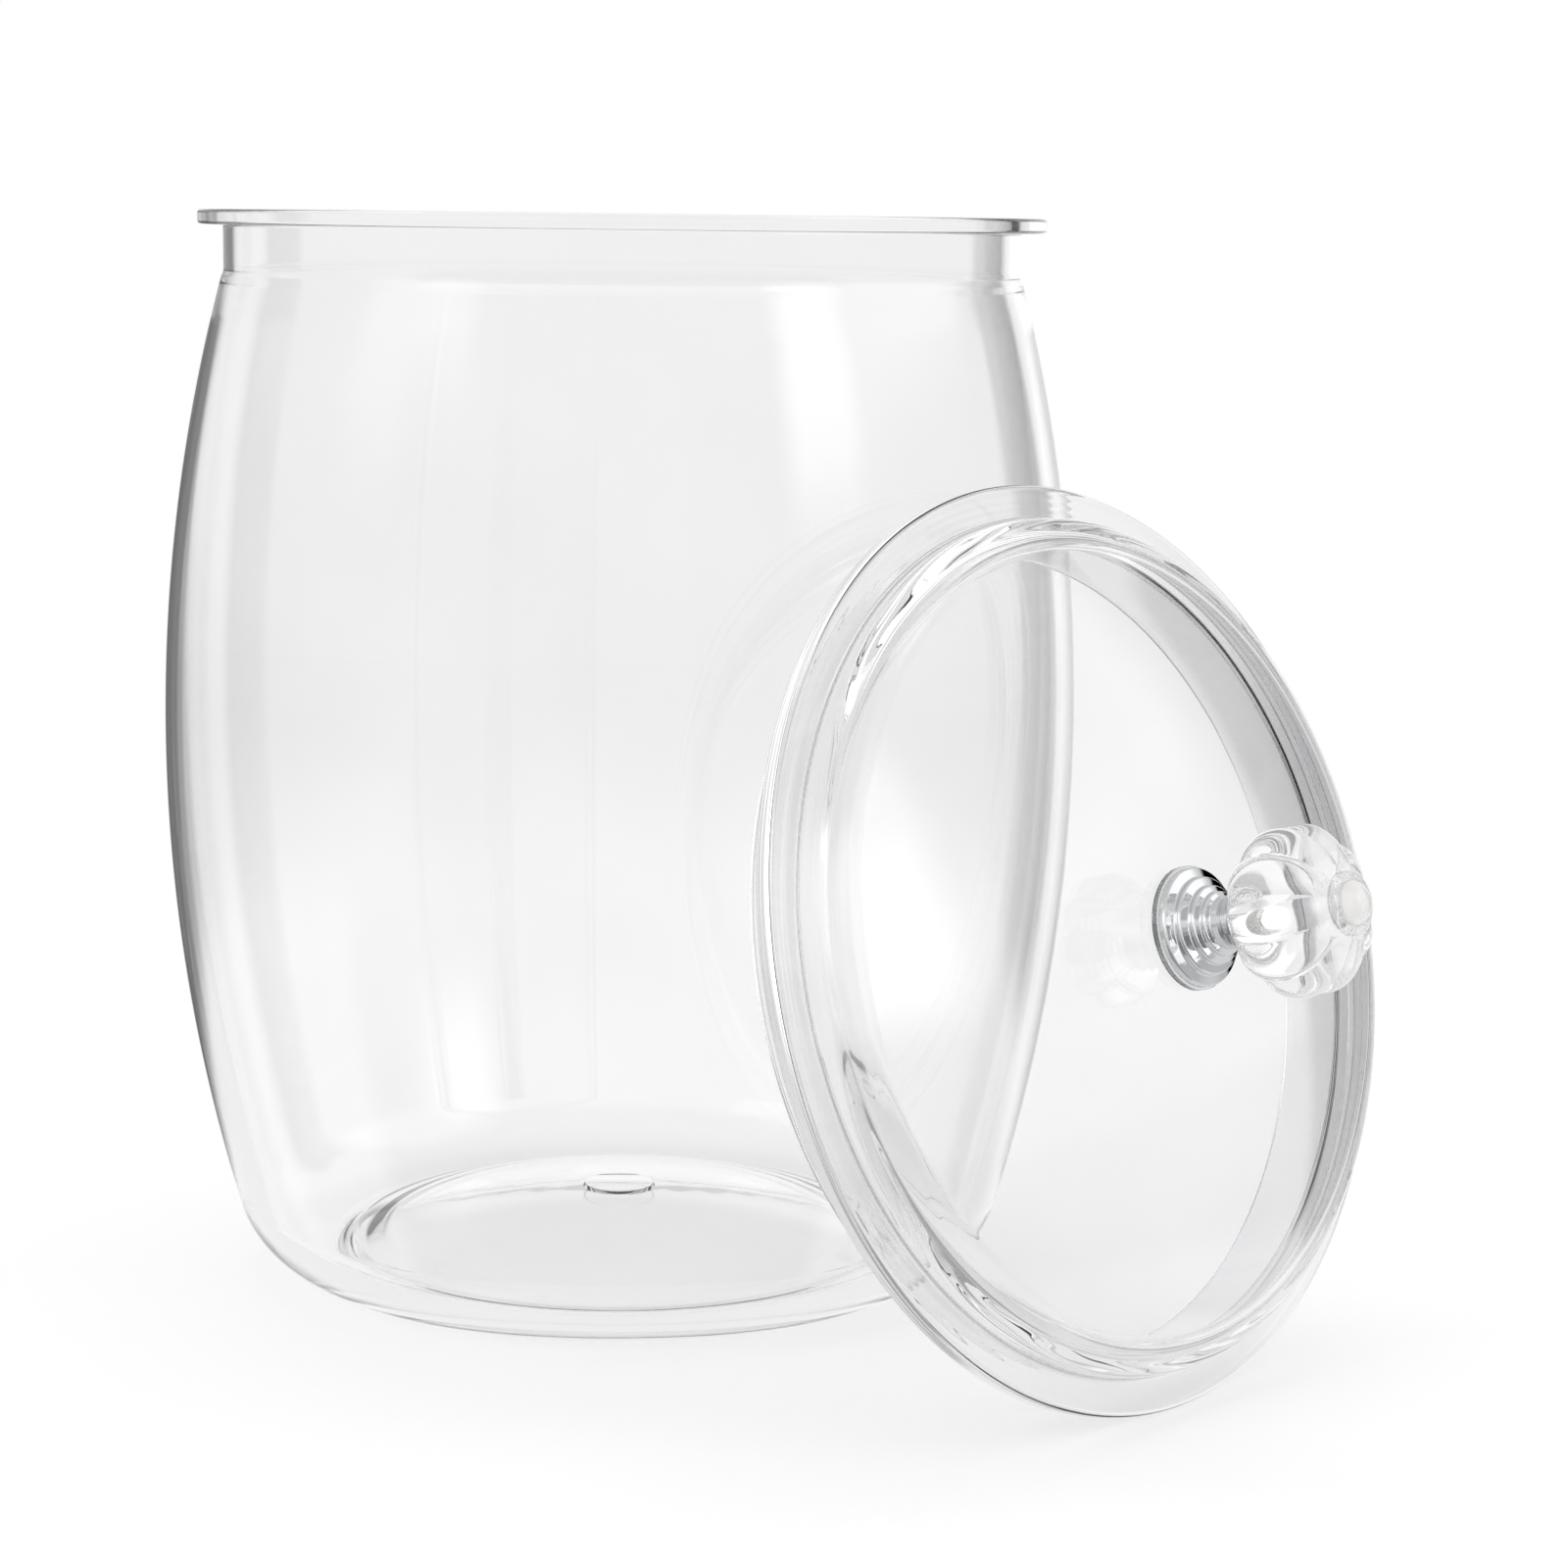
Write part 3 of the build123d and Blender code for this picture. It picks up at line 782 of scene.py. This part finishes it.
# %% [markdown]
# Relief is what a mirror-like surface shows best, because a reflection moves twice as far as the
# surface tilts. A hundredth of a millimetre or less is enough for plastic, and far less for chrome.
# One helper makes a wavy skin and another the rings of a turning tool. The last one puts tint,
# gloss and relief together in a shader.

# %% Relief
RING_FADE = 3


def wavy_skin(tree, place, size_mm, depth_mm, detail=1.0):
    """Waves of this size and depth."""
    inputs = {"Vector": place, "Scale": 1 / (size_mm * MM), "Detail": detail}
    noise = add(tree, "ShaderNodeTexNoise", inputs)
    return add(tree, "ShaderNodeBump", {"Height": noise, "Distance": depth_mm * MM})


def turned_rings(tree, place, pitch_mm, depth_mm, from_mm=0.0, under=None):
    """Fine rings about the piece's axis, outside a given distance, on top of another relief."""
    flat = add(tree, "ShaderNodeVectorMath", {0: place, 1: (1, 1, 0)}, operation="MULTIPLY")
    distance = add(tree, "ShaderNodeVectorMath", {0: flat}, operation="LENGTH").outputs["Value"]
    per_metre = 2 * math.pi / (pitch_mm * MM)
    turns = add(tree, "ShaderNodeMath", {0: distance, 1: per_metre}, operation="MULTIPLY")
    height = add(tree, "ShaderNodeMath", {0: turns}, operation="SINE")
    if from_mm:
        first, last = (from_mm - RING_FADE) * MM, (from_mm + RING_FADE) * MM
        ramp = {"Value": distance, "From Min": first, "From Max": last}
        outer = add(tree, "ShaderNodeMapRange", ramp)
        height = add(tree, "ShaderNodeMath", {0: height, 1: outer}, operation="MULTIPLY")
    below = {} if under is None else {"Normal": under}
    return add(tree, "ShaderNodeBump", {"Height": height, "Distance": depth_mm / 2 * MM, **below})


def finished(material, tree, out, settings, tint, gloss, skin):
    """The shader: what is even over the piece on its own sockets, and the three patterns."""
    inputs = {**settings, "Base Color": tint, "Roughness": gloss, "Normal": skin}
    shader = add(tree, "ShaderNodeBsdfPrincipled", inputs)
    tree.links.new(shader.outputs[0], out.inputs["Surface"])
    print("material:", material.name)
    return material


lid_axis = {"centre": LID_CENTRE, "turn": (0, math.pi / 2 - LEAN, 0)}

# %% [markdown]
# The jar is blown PET: a hot tube is stretched and blown against a cold mould, so it is clear all
# through, with long faint draw lines up the side and a faint unevenness of tint where the wall is
# thicker. It also picks up hairline scuffs, most of all on the foot that slides on a shelf.

# %% Blown PET
material, tree, out = new_material("clear blown PET")
place = on_piece(tree)
# Patches of 40 mm, hardly tinted: the eye reads an uneven wall, not a computer's glass.
tint = uneven_tint(tree, place, 40, "#FEFEFE", "#FCFCFC")
# Scuffs: most of the wall is a mirror, and a few hairline spots of 1.5 mm are a little duller.
scuffs = uneven_gloss(tree, place, 1.5, 0.0, 0.012, 0.56, 0.75, 4.0)
height = add(tree, "ShaderNodeSeparateXYZ", {0: place}).outputs[2]
# Wear: the lowest 2.5 mm, which slide on a shelf, are duller in spots of 3 mm.
ramp = {"Value": height, "From Min": 0.0, "From Max": 2.5 * MM, "To Min": 1.0, "To Max": 0.0}
worn = add(tree, "ShaderNodeMapRange", ramp)
rubbed = uneven_gloss(tree, place, 3, 0.02, 0.10)
worn = add(tree, "ShaderNodeMath", {0: worn, 1: rubbed}, operation="MULTIPLY")
gloss = add(tree, "ShaderNodeMath", {0: scuffs, 1: worn}, operation="MAXIMUM")
# Draw lines 9 mm apart and 150 mm long: highlights get the slight waver of a blown wall.
skin = wavy_skin(tree, on_piece(tree, stretch=(1, 1, 16)), 9, 0.010)
clear = {"IOR": 1.57, "Transmission Weight": 1.0}
clear_jar = finished(material, tree, out, clear, tint, gloss, skin)

# %% [markdown]
# The lid is injection moulded in clear styrene, a harder and more even plastic. Its mould was
# turned on a lathe, and the shoulder still shows that tool's rings as fine lines that run round
# it. The dome was polished, so it has only a slow waver and a few handling marks.

# %% Moulded styrene
material, tree, out = new_material("clear moulded styrene")
place = on_piece(tree, **lid_axis)
# A faint grey tint in 30 mm patches, a touch deeper than the jar's: the lid reads as a moulding
# of its own.
tint = uneven_tint(tree, place, 30, "#F8F8F8", "#F5F5F6")
gloss = uneven_gloss(tree, place, 2, 0.0, 0.010, 0.58, 0.78, 4.0)
# A slow waver of 14 mm on the polished dome, and turning rings of 1.5 mm pitch outside 75 mm only:
# the thin lines in the lid's edge.
skin = wavy_skin(tree, place, 14, 0.012)
skin = turned_rings(tree, place, 1.5, 0.010, 75, skin)
clear = {"IOR": 1.57, "Transmission Weight": 1.0}
clear_lid = finished(material, tree, out, clear, tint, gloss, skin)

# %% [markdown]
# The head and its collar are cast acrylic, clearer than glass and less hard. Casting leaves a
# slow waver in the skin, and fingers leave a soft bloom on the crests of the lobes.

# %% Cast acrylic
material, tree, out = new_material("crystal acrylic")
place = on_piece(tree, **lid_axis)
# Tint in 4 mm patches, nearly white, so that the lobes sparkle without any colour of their own.
tint = uneven_tint(tree, place, 4, "#FCFCFC", "#F9F9FA")
# Finger bloom in 2 mm spots: a few highlights on the lobes are a little softer.
gloss = uneven_gloss(tree, place, 2, 0.0, 0.012, 0.58, 0.78)
# Casting waver of 2.2 mm: it breaks up each lobe's reflection into short streaks.
skin = wavy_skin(tree, place, 2.2, 0.007)
clear = {"IOR": 1.49, "Transmission Weight": 1.0}
crystal = finished(material, tree, out, clear, tint, gloss, skin)

# %% [markdown]
# The button is milky acrylic with a pearly skin: light goes a little way in and comes back out,
# so it looks brighter than the clear parts round it. The script gives it a pale body, a thin
# clear coat and a satin gloss.

# %% Milky acrylic
material, tree, out = new_material("milky acrylic")
place = on_piece(tree, **lid_axis)
# Cloudy swirls of 3 mm between two warm whites: the pearly depth.
tint = uneven_tint(tree, place, 3, "#F7F6F4", "#ECEBE9")
# Satin that changes every 0.8 mm, with fine pits of 0.6 mm from the mould.
gloss = uneven_gloss(tree, place, 0.8, 0.24, 0.34)
skin = wavy_skin(tree, place, 0.6, 0.004, 3.0)
cloudy = {"IOR": 1.49, "Coat Weight": 0.3, "Transmission Weight": 0.12}
milky = finished(material, tree, out, cloudy, tint, gloss, skin)

# %% [markdown]
# The base is a zinc casting, turned, polished and plated with nickel and then chrome. The plating
# copies what is under it: the slow orange peel of the polishing wheel and the fine rings of the
# lathe. Its end, where the head sits, isn't polished, so it is a satin seat that shows bright
# through the clear head.

# %% Chrome
def plated(name, tones, gloss, peel_mm, ring_mm, ring_depth_mm):
    """Chrome over turned metal: its two tones, its least and most roughness, and its relief."""
    material, tree, out = new_material(name)
    place = on_piece(tree, **lid_axis)
    # Tone in 3 mm patches: a trace of haze that a soft cloth leaves on plating.
    tint = uneven_tint(tree, place, 3, *tones)
    # Roughness in 1.2 mm spots: most of it is a mirror, with slightly duller wiped places.
    gloss = uneven_gloss(tree, place, 1.2, *gloss, detail=4.0)
    # Orange peel together with turned rings, which draw thin streaks along each step.
    skin = wavy_skin(tree, place, peel_mm, 0.0015)
    skin = turned_rings(tree, place, ring_mm, ring_depth_mm, under=skin)
    return finished(material, tree, out, {"Metallic": 1.0}, tint, gloss, skin)


mirror_tones, satin_tones = ("#DDDEDF", "#D6D8DA"), ("#ECECEC", "#E3E4E4")
chrome = plated("polished chrome", mirror_tones, (0.01, 0.04), 1.5, 0.35, 0.0003)
seat = plated("satin plated seat", satin_tones, (0.30, 0.42), 1.0, 0.5, 0.002)

# %% [markdown]
# The hidden metal parts keep their CAD shapes. The screw and its washer are steel dipped in a
# zinc bath, where the zinc grows in flat crystals: the spangle. The insert is brass, turned and
# nickel plated.

# %% Zinc and nickel
material, tree, out = new_material("zinc plated steel")
place = on_piece(tree, **lid_axis)
cells = add(tree, "ShaderNodeTexVoronoi", {"Vector": place, "Scale": 1 / (1.2 * MM)})
flake = add(tree, "ShaderNodeSeparateColor", {0: cells.outputs["Color"]}).outputs[0]
# Spangle of 1.2 mm: each crystal has its own grey and its own gloss, as galvanised steel shows.
greys = {0: flake, 6: linear("#B9BABC"), 7: linear("#AEB0B4")}
tint = add(tree, "ShaderNodeMix", greys, data_type="RGBA")
gloss = add(tree, "ShaderNodeMapRange", {"Value": flake, "To Min": 0.22, "To Max": 0.35})
# A fine grain of 0.3 mm keeps it from looking polished.
skin = wavy_skin(tree, place, 0.3, 0.003, 3.0)
zinc = finished(material, tree, out, {"Metallic": 1.0}, tint, gloss, skin)

material, tree, out = new_material("nickel plated brass")
place = on_piece(tree, **lid_axis)
# Warm grey in 2 mm patches, with turned rings of 0.25 mm: the sheen of a small lathe part.
tint = uneven_tint(tree, place, 2, "#D8D7D3", "#CFCCC4")
gloss = uneven_gloss(tree, place, 0.9, 0.15, 0.26)
skin = turned_rings(tree, place, 0.25, 0.001)
nickel = finished(material, tree, out, {"Metallic": 1.0}, tint, gloss, skin)

# %% [markdown]
# The washer under the chrome base is soft clear vinyl, punched from sheet. Sheet vinyl is never
# quite clear: it has a fine calender grain and a slightly greasy, uneven gloss.

# %% Vinyl
material, tree, out = new_material("clear vinyl")
place = on_piece(tree, **lid_axis)
tint = uneven_tint(tree, place, 2.5, "#F2F3F3", "#EAEBEB")
# Uneven gloss in 1.5 mm spots and a 0.5 mm grain: softer edges than the hard plastic round it.
gloss = uneven_gloss(tree, place, 1.5, 0.10, 0.22)
skin = wavy_skin(tree, place, 0.5, 0.006, 3.0)
hazy = {"IOR": 1.5, "Transmission Weight": 0.9}
gasket = finished(material, tree, out, hazy, tint, gloss, skin)

print("materials:", sorted(m.name for m in bpy.data.materials))

# %% [markdown]
# Geometry Nodes press the lobes into the head here, once its material is there for Set Material.
# The result becomes a plain mesh. Its V grooves stay sharp and the lobes are smooth.

# %% Finished head
GROOVE_ANGLE = math.radians(30)
made_plain(head, flutes, {"Material": crystal}, lid_place)
head.data.set_sharp_from_angle(angle=GROOVE_ANGLE)

# %% [markdown]
# Each row names a piece, its material, the moving body it rides on, the record's finish it belongs
# to, and the CAD solid that it stands in for. The piece gets its material and its body, and that
# CAD solid is hidden. The base also gets the satin seat, on its end faces alone.
# The four small pieces that are already right in the CAD keep their shapes.

# %% Pieces onto the frame
for thing, material, body, slot, node in [
    (jar, clear_jar, "jar", "jar_plastic", "jar_body"),
    (lid, clear_lid, "lid", "lid_plastic", "lid_shell"),
    (base, chrome, "knob", "chrome", "knob_base"),
    (head, crystal, "knob", "crystal_plastic", "knob_head"),
    (collar, crystal, "knob", "crystal_plastic", "knob_collar"),
    (button, milky, "knob", "milky_plastic", "knob_button"),
]:
    thing.data.materials.clear()
    thing.data.materials.append(material)
    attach(thing, body)
    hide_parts(node)

SEAT_MARGIN = 0.05
base.data.materials.append(seat)
own_axis = lid_place.to_3x3() @ Vector((0, 0, 1))
for face in base.data.polygons:
    level = (face.center - Vector(LID_CENTRE)) @ own_axis / MM
    if level > BASE_LEVEL + BASE_HEIGHT - SEAT_MARGIN:
        face.material_index = 1
print("satin seat:", sum(face.material_index for face in base.data.polygons), "faces")

for name, material in [
    ("knob_screw", zinc), ("screw_washer", zinc), ("knob_insert", nickel), ("knob_gasket", gasket),
]:
    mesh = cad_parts[name].data
    mesh.materials.clear()
    mesh.materials.append(material)
